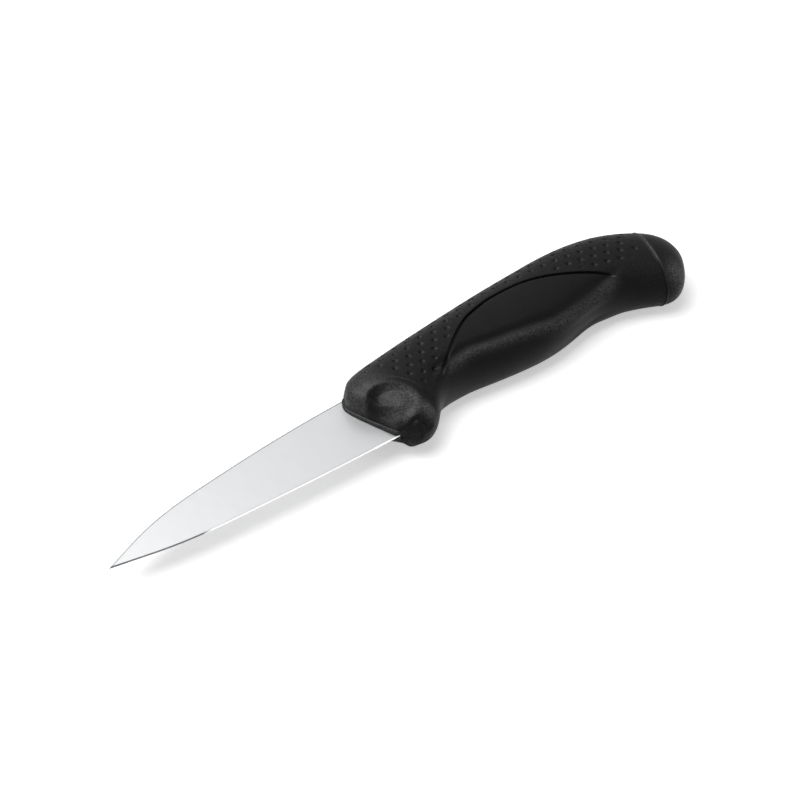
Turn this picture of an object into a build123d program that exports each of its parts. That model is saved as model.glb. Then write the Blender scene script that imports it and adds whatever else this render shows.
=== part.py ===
from build123d import *
from math import cos, radians, sin
import os

# Paring knife with a stamped blade and a two-shot moulded handle, in millimetres.
# It is drawn with the junction of blade and handle at x = 0, the tip toward -X,
# the spine toward +Y and the middle of the blade at z = 0. Both sides are alike.

# Driving dimensions of the blade
blade_length = 86.8
blade_height = 18.4
spine_rise = 10.05
stock_thickness = 1.5
edge_thickness = 0.36
distal_taper = 0.4
bevel_width = 0.5
bevel_depth = 0.15
ricasso_length = 6.5
heel_length = 3.0

# Driving dimensions of the tang
tang_end_gap = 31.0
tang_rise = 3.0
tang_width = 11.0
tang_end_width = 7.0
tang_hole_diameter = 4.2
tang_notch_diameter = 2.6

# Driving dimensions of the handle
handle_length = 109.0
handle_height = 25.4
handle_thickness = 18.6
sleeve_wall = 2.2
groove_width = 0.8
groove_depth = 0.9
collar_thickness = 3.0
collar_depth = 9.0
collar_proud = 0.3
nose_reach = 3.8
scoop_length = 13.5
scoop_width = 10.4
scoop_depth = 1.2
scoop_reach = 4.0
scoop_drop = 3.2
scoop_rise = 8.4
scoop_roll = 16.0
scoop_pitch = 8.0
scoop_lean = 24.0
seam_slant = 16.0
cap_length = 10.3
cap_wall = 3.4
spigot_length = 5.0
overrun = 2.0
border_steps = 24

half_stock = stock_thickness / 2
half_thickness = handle_thickness / 2
half_collar = collar_thickness / 2
tang_length = handle_length - tang_end_gap
seam_reach = handle_length - cap_length

cutting_length = blade_length - ricasso_length
half_edge = edge_thickness / 2
edge_drop = spine_rise - blade_height

# Blade outline from the tip back to the ricasso, as shares of cutting length and height
spine_shares = [(0.915, 0.125), (0.853, 0.212), (0.728, 0.342), (0.542, 0.437),
                (0.293, 0.511), (0.106, 0.541), (0.0, 0.546)]
edge_shares = [(0.0, -0.440), (0.131, -0.416), (0.293, -0.380), (0.479, -0.330),
               (0.666, -0.272), (0.791, -0.196), (0.915, -0.082)]

# Handle sections from the guard to the butt: the place along the handle, the belly and
# the spine as shares of its height, the half thickness as a share, and how full the
# belly's side is
section_shares = [
    (-0.035, -0.340, 0.455, 0.78, 0.62),
    (0.000, -0.400, 0.505, 0.88, 0.60),
    (0.030, -0.462, 0.545, 0.95, 0.56),
    (0.064, -0.500, 0.570, 0.995, 0.54),
    (0.101, -0.472, 0.585, 1.00, 0.56),
    (0.138, -0.362, 0.597, 0.985, 0.62),
    (0.174, -0.240, 0.608, 0.965, 0.70),
    (0.229, -0.182, 0.628, 0.945, 0.76),
    (0.303, -0.203, 0.656, 0.945, 0.76),
    (0.394, -0.268, 0.688, 0.955, 0.74),
    (0.495, -0.308, 0.712, 0.975, 0.72),
    (0.596, -0.270, 0.720, 0.995, 0.74),
    (0.697, -0.205, 0.713, 1.00, 0.76),
    (0.771, -0.250, 0.680, 0.985, 0.72),
    (0.826, -0.343, 0.632, 0.965, 0.66),
    (0.862, -0.425, 0.582, 0.94, 0.64),
    (0.899, -0.492, 0.510, 0.90, 0.66),
    (0.936, -0.452, 0.415, 0.82, 0.68),
    (0.968, -0.325, 0.295, 0.67, 0.70),
    (0.990, -0.190, 0.150, 0.44, 0.70),
    (1.000, -0.085, 0.035, 0.18, 0.70),
]
side_rise_share = 0.56
round_share = 0.62
belly_reach_share = 0.62

# Upper border of the smooth palm panel and the handle's front, as shares of its
# length and height
panel_shares = [(0.150, -0.450), (0.145, -0.330), (0.160, -0.222), (0.217, -0.048),
                (0.268, 0.098), (0.342, 0.280), (0.390, 0.350), (0.438, 0.388),
                (0.490, 0.392), (0.562, 0.350), (0.636, 0.228), (0.704, 0.074),
                (0.750, -0.056), (0.790, -0.200), (0.830, -0.370), (0.860, -0.560)]
front_shares = [(0.000, 0.560), (-0.0185, 0.420), (-0.030, 0.240), (-0.014, 0.0),
                (0.0145, -0.323), (0.034, -0.470), (0.060, -0.580)]


def along_handle(share):
    return share * handle_length


def up_handle(share):
    return share * handle_height


def section_plane(x):
    return Plane(origin=(x, 0, 0), x_dir=(0, 1, 0), z_dir=(1, 0, 0))


def handle_section(x, belly, spine, half, fullness):
    """Closed handle section, alike on both sides of the blade."""
    side = belly + side_rise_share * (spine - belly)
    upper = side + round_share * (spine - side)
    lower = side - belly_reach_share * (side - belly)
    with BuildSketch(section_plane(x)) as section:
        with BuildLine():
            Bezier((spine, 0), (spine, round_share * half), (upper, half), (side, half))
            Bezier((side, half), (lower, half), (belly, fullness * half), (belly, 0))
            Bezier((belly, 0), (belly, -fullness * half), (lower, -half), (side, -half))
            Bezier((side, -half), (upper, -half), (spine, -round_share * half), (spine, 0))
        make_face()
    return section.sketch


def handle_body(inset):
    """Whole handle form, shrunk all round by the inset."""
    sections = []
    for place, belly, spine, half, fullness in section_shares:
        margin = min(inset, half * half_thickness / 2)
        sections.append(
            handle_section(
                along_handle(place),
                up_handle(belly) + margin,
                up_handle(spine) - margin,
                half * half_thickness - margin,
                fullness,
            )
        )
    with BuildPart() as body:
        loft(sections)
    return body.part


def handle_points(shares):
    return [(along_handle(x), up_handle(y)) for x, y in shares]


def blade_points(shares):
    return [(-ricasso_length - x * cutting_length, y * blade_height) for x, y in shares]


def ground_away(reach, direction):
    """What a flat grind takes off one side: more toward the edge, from the ricasso on."""
    fall = (half_stock - half_edge) / blade_height * overrun
    with BuildPart() as taken:
        with BuildSketch(section_plane(-ricasso_length)):
            with BuildLine():
                Polyline(
                    (spine_rise + overrun, half_stock + fall),
                    (edge_drop - overrun, half_edge - fall),
                    (edge_drop - overrun, stock_thickness),
                    (spine_rise + overrun, stock_thickness),
                    close=True,
                )
            make_face()
        extrude(amount=reach, dir=direction)
    return taken.part


# The blade also thins toward its tip
tip_grind = ground_away(cutting_length + overrun, (-blade_length, 0, -distal_taper / 2))
heel_grind = ground_away(ricasso_length + heel_length, (1, 0, 0))

# Heel of the blade and the tang behind it, with lock holes and notches for the moulding
spine_end = blade_points(spine_shares)[-1]
edge_end = blade_points(edge_shares)[0]
with BuildPart() as heel:
    with BuildSketch():
        with BuildLine():
            Polyline(
                spine_end,
                (heel_length, spine_end[1]),
                (heel_length, edge_drop),
                edge_end,
                close=True,
            )
        make_face()
    extrude(amount=half_stock, both=True)
    add(heel_grind, mode=Mode.SUBTRACT)
    add(mirror(heel_grind, about=Plane.XY, mode=Mode.PRIVATE), mode=Mode.SUBTRACT)
    with BuildSketch():
        with BuildLine():
            Polyline(
                (heel_length, tang_rise + tang_width / 2),
                (tang_length, tang_rise + tang_end_width / 2),
                (tang_length, tang_rise - tang_end_width / 2),
                (heel_length, tang_rise - tang_width / 2),
                close=True,
            )
        make_face()
        with Locations((tang_length / 3, tang_rise), (tang_length * 2 / 3, tang_rise)):
            Circle(tang_hole_diameter / 2, mode=Mode.SUBTRACT)
        with Locations(
            (tang_length / 2, tang_rise + (tang_width + tang_end_width) / 4),
            (tang_length / 2, tang_rise - (tang_width + tang_end_width) / 4),
        ):
            Circle(tang_notch_diameter / 2, mode=Mode.SUBTRACT)
    extrude(amount=half_stock, both=True)

with BuildPart() as blade:
    with BuildSketch():
        with BuildLine():
            tip = (-blade_length, 0)
            Spline(tip, *blade_points(spine_shares))
            Line(spine_end, edge_end)
            Spline(*blade_points(edge_shares), tip)
        make_face()
    extrude(amount=half_stock, both=True)
    add(tip_grind, mode=Mode.SUBTRACT)
    add(mirror(tip_grind, about=Plane.XY, mode=Mode.PRIVATE), mode=Mode.SUBTRACT)
    for side in blade.faces().filter_by(GeomType.PLANE).sort_by(SortBy.AREA)[-2:]:
        chamfer(
            side.edges().sort_by(Axis.Y)[0],
            length=bevel_width,
            length2=bevel_depth,
            reference=side,
        )
    add(heel.part)

# Handle form, cut square to the blade along its slanting, rounded front
with BuildPart() as front_cut:
    with BuildSketch():
        with BuildLine():
            front = Spline(*handle_points(front_shares))
            Polyline(
                front @ 1,
                ((front @ 1).X, -handle_height),
                (-handle_height, -handle_height),
                (-handle_height, handle_height),
                ((front @ 0).X, handle_height),
                front @ 0,
            )
        make_face()
    extrude(amount=handle_thickness, both=True)


def rounded_nose(top, bottom):
    """Block whose rounded front runs from a top to a bottom place of the handle's front."""
    lean = bottom - top
    across = Plane(origin=(top + bottom) / 2, x_dir=(-lean.Y, lean.X, 0), z_dir=lean)
    with BuildPart() as nose:
        with BuildSketch(across):
            with BuildLine():
                Polyline(
                    (nose_reach, half_thickness),
                    (handle_length * 2, half_thickness),
                    (handle_length * 2, -half_thickness),
                    (nose_reach, -half_thickness),
                )
                Bezier(
                    (nose_reach, -half_thickness),
                    (nose_reach * (1 - round_share), -half_thickness),
                    (0, -half_collar - (half_thickness - half_collar) * (1 - round_share)),
                    (0, -half_collar),
                )
                Line((0, -half_collar), (0, half_collar))
                Bezier(
                    (0, half_collar),
                    (0, half_collar + (half_thickness - half_collar) * (1 - round_share)),
                    (nose_reach * (1 - round_share), half_thickness),
                    (nose_reach, half_thickness),
                )
            make_face()
        extrude(amount=handle_length, both=True)
    return nose.part


front_places = [Vector(*point) for point in handle_points(front_shares)]
with BuildPart() as handle_form:
    add(handle_body(0))
    add(front_cut.part, mode=Mode.SUBTRACT)
    add(rounded_nose(front_places[2], front_places[5]), mode=Mode.INTERSECT)
    add(rounded_nose(front_places[0], front_places[2]), mode=Mode.INTERSECT)

# Slanting seam in front of the end cap
seam = Plane(
    origin=(seam_reach, 0, 0),
    x_dir=(sin(radians(seam_slant)), cos(radians(seam_slant)), 0),
    z_dir=(cos(radians(seam_slant)), -sin(radians(seam_slant)), 0),
)


def behind_seam(start, reach):
    """Block across the whole handle, from a start past the seam toward the butt."""
    with BuildPart() as block:
        with BuildSketch(seam.offset(start)):
            Rectangle(handle_height * 3, handle_thickness * 2)
        extrude(amount=reach)
    return block.part


beyond_seam = behind_seam(0, handle_length)

def panel_region(spread):
    """Block through the handle below the palm panel's border, spread past it."""
    border = Edge.make_spline([Vector(*point) for point in handle_points(panel_shares)])
    moved = []
    for step in range(border_steps + 1):
        heading = border % (step / border_steps)
        outward = Vector(-heading.Y, heading.X)
        moved.append(border @ (step / border_steps) + outward * spread)
    with BuildPart() as region:
        with BuildSketch():
            with BuildLine():
                moved_border = Spline(*moved)
                Line(moved_border @ 1, moved_border @ 0)
            make_face()
        extrude(amount=handle_thickness, both=True)
    return region.part


# Smooth palm panels, with the floor of the groove round them
panel_inside = panel_region(0)
panel_outside = panel_region(groove_width)
with BuildPart() as panels:
    add(handle_form.part)
    add(panel_inside, mode=Mode.INTERSECT)
with BuildPart() as groove_floor:
    add(handle_body(groove_depth))
    add(panel_outside, mode=Mode.INTERSECT)
with BuildPart() as inner_body:
    with BuildSketch(section_plane(collar_depth - overrun)):
        Rectangle(handle_height * 3, handle_thickness * 2)
    extrude(amount=handle_length)
    add(handle_body(sleeve_wall), mode=Mode.INTERSECT)
with BuildPart() as collar:
    with BuildSketch():
        with BuildLine():
            front = Spline(*handle_points(front_shares))
            Polyline(
                front @ 0,
                (collar_depth, (front @ 0).Y),
                (collar_depth, (front @ 1).Y),
                front @ 1,
            )
        make_face()
        with BuildSketch(mode=Mode.INTERSECT):
            with Locations((0, (spine_rise + edge_drop) / 2)):
                Rectangle(collar_depth * 2, blade_height + collar_proud * 2)
    extrude(amount=half_collar, both=True)

# Hard core around the tang, with the panels, the front collar and the rear spigot.
# Its moulding fills the holes and notches of the tang.
with BuildPart() as spigot:
    add(handle_body(cap_wall))
    add(behind_seam(-overrun, overrun + spigot_length), mode=Mode.INTERSECT)
with BuildPart() as handle_core:
    add(inner_body.part)
    add(groove_floor.part)
    add(panels.part)
    add(beyond_seam, mode=Mode.SUBTRACT)
    add(collar.part)
    add(spigot.part)
    add(blade.part, mode=Mode.SUBTRACT)

# Thumb scoop, a barrel pressed into the rounded side of the bolster
barrel_radius = (scoop_width**2 / 4 + scoop_depth**2) / (2 * scoop_depth)
barrel_rise = barrel_radius - scoop_depth
scoop_spot = (scoop_reach, -scoop_drop, scoop_rise)
with BuildPart() as barrel:
    with BuildSketch(Plane(origin=(0, 0, barrel_rise))):
        with BuildLine():
            rim = ThreePointArc(
                (barrel_rise, scoop_length / 2),
                (barrel_radius, 0),
                (barrel_rise, -scoop_length / 2),
            )
            Polyline(rim @ 1, (0, -scoop_length / 2), (0, scoop_length / 2), rim @ 0)
        make_face()
    revolve(axis=Axis((0, 0, barrel_rise), (0, 1, 0)))
scoop = barrel.part.moved(Location(scoop_spot, (scoop_roll, -scoop_pitch, scoop_lean)))

# Soft dotted sleeve over the core, ending at the seam; the plugs cut out by the scoops
# fall away from it
with BuildPart() as scooped_sleeve:
    add(handle_form.part)
    add(beyond_seam, mode=Mode.SUBTRACT)
    add(panel_outside, mode=Mode.SUBTRACT)
    add(inner_body.part, mode=Mode.SUBTRACT)
    add(collar.part, mode=Mode.SUBTRACT)
    add(blade.part, mode=Mode.SUBTRACT)
    add(scoop, mode=Mode.SUBTRACT)
    add(mirror(scoop, about=Plane.XY, mode=Mode.PRIVATE), mode=Mode.SUBTRACT)

with BuildPart() as grip_sleeve:
    add(scooped_sleeve.part.solids().sort_by(SortBy.VOLUME)[-1])

# Hard cap over the spigot at the butt
with BuildPart() as butt_cap:
    add(handle_form.part)
    add(beyond_seam, mode=Mode.INTERSECT)
    add(spigot.part, mode=Mode.SUBTRACT)

# The knife lies on one side of its handle, centred over the origin
form_box = handle_form.part.bounding_box()
rest_place = Location(
    (
        (blade_length - form_box.max.X) / 2,
        -(form_box.max.Y + form_box.min.Y) / 2,
        -form_box.min.Z,
    )
)
os.makedirs("parts", exist_ok=True)
blade.part.move(rest_place)
blade.part.label = "blade"
export_step(blade.part, "parts/blade.step")
handle_core.part.move(rest_place)
handle_core.part.label = "handle_core"
export_step(handle_core.part, "parts/handle_core.step")
grip_sleeve.part.move(rest_place)
grip_sleeve.part.label = "grip_sleeve"
export_step(grip_sleeve.part, "parts/grip_sleeve.step")
butt_cap.part.move(rest_place)
butt_cap.part.label = "butt_cap"
export_step(butt_cap.part, "parts/butt_cap.step")
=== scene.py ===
"""Looks of a paring knife: satin blade, hard core, dotted soft sleeve and end cap."""
import math
from functools import partial

import bmesh
import bpy
import numpy as np
from mathutils import Matrix, Vector


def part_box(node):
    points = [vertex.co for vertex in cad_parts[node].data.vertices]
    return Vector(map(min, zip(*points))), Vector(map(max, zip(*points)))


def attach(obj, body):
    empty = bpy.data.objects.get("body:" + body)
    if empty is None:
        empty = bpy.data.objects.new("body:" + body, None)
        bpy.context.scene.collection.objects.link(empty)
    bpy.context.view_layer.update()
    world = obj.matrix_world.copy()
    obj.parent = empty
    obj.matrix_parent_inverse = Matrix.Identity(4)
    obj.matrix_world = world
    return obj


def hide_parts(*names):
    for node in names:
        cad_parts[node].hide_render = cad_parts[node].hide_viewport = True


bl_info = {
    "name": "Paring Knife",
    "version": (1, 0, 0),
    "blender": (4, 5, 0),
    "location": "View3D > Sidebar > Knife",
    "description": "Dresses the packed paring knife and lights it",
    "category": "Object",
}

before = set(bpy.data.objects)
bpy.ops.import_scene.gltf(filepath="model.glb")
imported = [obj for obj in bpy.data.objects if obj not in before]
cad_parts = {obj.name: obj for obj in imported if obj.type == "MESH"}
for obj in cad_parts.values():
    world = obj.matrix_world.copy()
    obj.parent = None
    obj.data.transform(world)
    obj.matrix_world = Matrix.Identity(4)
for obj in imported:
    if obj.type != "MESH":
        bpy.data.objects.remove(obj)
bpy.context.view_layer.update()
MM = 0.001


def mm(*lengths):
    """Lengths given in millimetres."""
    return tuple(length * MM for length in lengths)


# Beyond anything on the knife
FAR = 1.0
# Points closer than this become one
WELD = 0.002 * MM
# Skin kept past a seam until it is cut there
SPARE = 2 * MM
BLADE_LOW, BLADE_HIGH = (Vector(corner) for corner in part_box("blade"))
BLADE_LENGTH = 86.8 * MM
SPINE_RISE = 10.05 * MM
BLADE_HEIGHT = 18.4 * MM
# Where the middle of the blade meets the handle
JUNCTION = Vector((
    BLADE_LOW.x + BLADE_LENGTH,
    BLADE_HIGH.y - SPINE_RISE,
    (BLADE_LOW.z + BLADE_HIGH.z) / 2,
))

# The collar's slot reaches a little past the blade's spine and edge
COLLAR_MARGIN = 0.3 * MM
COLLAR_LOW = SPINE_RISE - BLADE_HEIGHT - COLLAR_MARGIN
COLLAR_HIGH = SPINE_RISE + COLLAR_MARGIN

# Handle sections from the guard to the butt: the place along the handle, the belly and
# the spine as shares of its height, the half thickness as a share, and how full the
# belly's side is
SECTION_SHARES = [
    (-0.035, -0.340, 0.455, 0.78, 0.62),
    (0.000, -0.400, 0.505, 0.88, 0.60),
    (0.030, -0.462, 0.545, 0.95, 0.56),
    (0.064, -0.500, 0.570, 0.995, 0.54),
    (0.101, -0.472, 0.585, 1.00, 0.56),
    (0.138, -0.362, 0.597, 0.985, 0.62),
    (0.174, -0.240, 0.608, 0.965, 0.70),
    (0.229, -0.182, 0.628, 0.945, 0.76),
    (0.303, -0.203, 0.656, 0.945, 0.76),
    (0.394, -0.268, 0.688, 0.955, 0.74),
    (0.495, -0.308, 0.712, 0.975, 0.72),
    (0.596, -0.270, 0.720, 0.995, 0.74),
    (0.697, -0.205, 0.713, 1.00, 0.76),
    (0.771, -0.250, 0.680, 0.985, 0.72),
    (0.826, -0.343, 0.632, 0.965, 0.66),
    (0.862, -0.425, 0.582, 0.94, 0.64),
    (0.899, -0.492, 0.510, 0.90, 0.66),
    (0.936, -0.452, 0.415, 0.82, 0.68),
    (0.968, -0.325, 0.295, 0.67, 0.70),
    (0.990, -0.190, 0.150, 0.44, 0.70),
    (1.000, -0.085, 0.035, 0.18, 0.70),
]
# How a section rounds over: where its side lies, and how far its curves reach
SIDE_RISE_SHARE = 0.56
ROUND_SHARE = 0.62
BELLY_REACH_SHARE = 0.62
# The palm panel's border, the nose's front and the lines below, all as shares of the
# handle's length and height
PANEL_SHARES = [
    (0.150, -0.450), (0.145, -0.330), (0.160, -0.222), (0.217, -0.048), (0.268, 0.098),
    (0.342, 0.280), (0.390, 0.350), (0.438, 0.388), (0.490, 0.392), (0.562, 0.350),
    (0.636, 0.228), (0.704, 0.074), (0.750, -0.056), (0.790, -0.200), (0.830, -0.370),
    (0.860, -0.560),
]
FRONT_SHARES = [
    (0.022, 0.535), (-0.010, 0.421), (-0.0225, 0.345), (-0.030, 0.240), (-0.014, 0.0),
    (0.003, -0.200), (0.0145, -0.312), (0.031, -0.355), (0.048, -0.450), (0.068, -0.580),
]
# The soft valley where the panel's groove runs out toward the guard
VALLEY_SHARES = [
    (0.190, -0.020), (0.168, -0.083), (0.146, -0.177), (0.118, -0.287), (0.110, -0.360),
]
# The soft ridge between the side and the belly, along the handle and up it
RIDGE_SHARES = [
    (0.120, -0.330), (0.150, -0.190), (0.180, -0.125), (0.215, -0.095), (0.258, -0.085),
    (0.298, -0.075), (0.340, -0.105), (0.385, -0.140), (0.451, -0.185), (0.534, -0.240),
    (0.594, -0.235), (0.662, -0.205), (0.718, -0.175), (0.754, -0.165), (0.800, -0.170),
]


def length_size(name, description, millimetres):
    """A length that the user can change."""
    return bpy.props.FloatProperty(
        name=name, description=description, default=millimetres * MM, unit="LENGTH")


class HandleSizes(bpy.types.PropertyGroup):
    """Sizes of the handle and of what is moulded into it."""

    length: length_size("Handle Length", "From the blade junction to the butt", 109.0)
    height: length_size("Handle Height", "From the belly to the spine", 25.4)
    thickness: length_size("Handle Thickness", "Across both sides", 18.6)
    nose_reach: length_size("Nose Reach", "How far back the rounded front reaches", 3.8)
    collar_thickness: length_size("Collar Thickness", "Hard band that shows round the blade", 3.0)
    groove_width: length_size("Groove Width", "Gap between the palm panel and the soft sleeve", 0.8)
    groove_depth: length_size("Groove Depth", "Depth of the gap round the palm panel", 0.9)
    scoop_depth: length_size("Thumb Scoop Depth", "Deepest point of the thumb scoop", 2.1)
    seam_reach: length_size("Seam Reach", "From the blade junction to the cap's seam", 98.7)
    seam_slant: bpy.props.FloatProperty(
        name="Seam Slant", description="Lean of the cap's seam",
        default=math.radians(16.0), subtype="ANGLE")
    pit_radius: length_size("Pit Radius", "Radius of each grip pit", 0.8)
    pit_depth: length_size("Pit Depth", "Depth of each grip pit", 0.5)
    pit_pitch: length_size("Pit Pitch", "Spacing of the pits along a row", 3.9)
    row_gap: length_size("Row Gap", "Spacing of the rows of pits", 3.1)


class FinishColours(bpy.types.PropertyGroup):
    """Colours of the finishes."""

    steel: bpy.props.StringProperty(
        name="Steel", description="Ground stainless steel, as sRGB hex", default="B0B1B2")
    core: bpy.props.StringProperty(
        name="Hard Plastic", description="Black polypropylene, as sRGB hex", default="0A0A0A")
    sleeve: bpy.props.StringProperty(
        name="Soft Plastic", description="Black elastomer, as sRGB hex", default="090909")
    floor: bpy.props.StringProperty(
        name="Floor", description="Studio floor, as sRGB hex", default="E6E6E6")


# Small maths

def natural_spline(knots, values, places):
    """Smooth curve through values at knots, with no bend at its ends."""
    knots, values = np.asarray(knots), np.asarray(values)
    gap = np.diff(knots)
    count = len(knots)
    matrix = np.eye(count)
    right = np.zeros(count)
    for row in range(1, count - 1):
        matrix[row, row - 1:row + 2] = gap[row - 1], 2 * (gap[row - 1] + gap[row]), gap[row]
        rise = (values[row + 1] - values[row]) / gap[row]
        fall = (values[row] - values[row - 1]) / gap[row - 1]
        right[row] = 6 * (rise - fall)
    bend = np.linalg.solve(matrix, right)
    span = np.clip(np.searchsorted(knots, places) - 1, 0, count - 2)
    ahead, behind = knots[span + 1] - places, places - knots[span]
    width = gap[span]
    curve = (bend[span] * ahead**3 + bend[span + 1] * behind**3) / (6 * width)
    curve += (values[span] / width - bend[span] * width / 6) * ahead
    return curve + (values[span + 1] / width - bend[span + 1] * width / 6) * behind


def bezier(points, t):
    a, b, c, d = points
    return a * (1 - t)**3 + 3 * b * t * (1 - t)**2 + 3 * c * t**2 * (1 - t) + d * t**3


def ease(low, high, value):
    """Eases from 0 at low to 1 at high."""
    t = np.clip((value - low) / (high - low), 0, 1)
    return t * t * (3 - 2 * t)


def stretch(start, end, value):
    """1 along a stretch that fades in over start and out over end, each a low and a high."""
    return ease(*start, value) * (1 - ease(*end, value))


def bell(distance, width):
    """1 at no distance, falling away evenly on both sides."""
    return np.exp(-(distance / width)**2)


def spot(x, y, middle, radius):
    """Soft round spot on the side of the handle."""
    return np.exp(-((x - middle[0])**2 + (y - middle[1])**2) / radius**2)


def with_back(half, mirror=1):
    """A half ring's values and those of the other side, times what mirrors them."""
    return np.concatenate([half, half[:, -2:0:-1] * mirror], axis=1)


def grid_faces(rows, count):
    """Faces of a grid whose rows are closed rings of points."""
    return [[row * count + column, (row + 1) * count + column,
             (row + 1) * count + (column + 1) % count, row * count + (column + 1) % count]
            for row in range(rows - 1) for column in range(count)]


def curve_through(shares, sizes, count):
    """Points along a smooth curve through places given as shares of the handle."""
    knots = np.arange(len(shares))
    fine = np.linspace(0, len(shares) - 1, count)
    x = natural_spline(knots, [share[0] * sizes.length for share in shares], fine)
    y = natural_spline(knots, [share[1] * sizes.height for share in shares], fine)
    return x, y


def distance_to(curve, x, y):
    """Signed distance to an open curve, positive on its right hand side."""
    cx, cy = curve
    ax, ay = cx[:-1], cy[:-1]
    dx, dy = np.diff(cx), np.diff(cy)
    squared = dx**2 + dy**2
    best = np.full(x.shape, np.inf)
    side = np.zeros(x.shape)
    for index in range(len(ax)):
        px, py = x - ax[index], y - ay[index]
        t = np.clip((px * dx[index] + py * dy[index]) / squared[index], 0, 1)
        gap = np.hypot(px - t * dx[index], py - t * dy[index])
        nearer = gap < best
        best = np.where(nearer, gap, best)
        cross = px * dy[index] - py * dx[index]
        side = np.where(nearer, np.sign(cross), side)
    return best * side


# Handle skin

# The grid's rings, the closer ones at the nose with their share of the length, and the
# steps round a quarter ring
RINGS, NOSE_RINGS, NOSE_SHARE = 470, 60, 0.05
QUARTER = 76
SEAM_GAP = 0.08 * MM
# Passes that bring the first ring onto the front and that even out the nose, and the share
# of the way that each one goes
FRONT_PASSES, EVEN_PASSES, PASS_SHARE = 12, 20, 0.7
# The nose: where it ends, and how tightly its rounding meets the sections behind it
NOSE_END = 16 * MM
NOSE_BLEND = 5
# How steeply the nose widens behind its reach and at the finger guard, and what the
# shoulder above the guard and the chin below it add
SWELL_SLOPE, GUARD_SLOPE, SHOULDER_SLOPE, CHIN_SLOPE = 1.5, 1.9, 7, 4.5
SHOULDER_HEIGHTS = mm(-6.5, 3)
CHIN_HEIGHTS = mm(-7, -11.5)
CREASE_BLEND = 0.3 * MM


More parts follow.
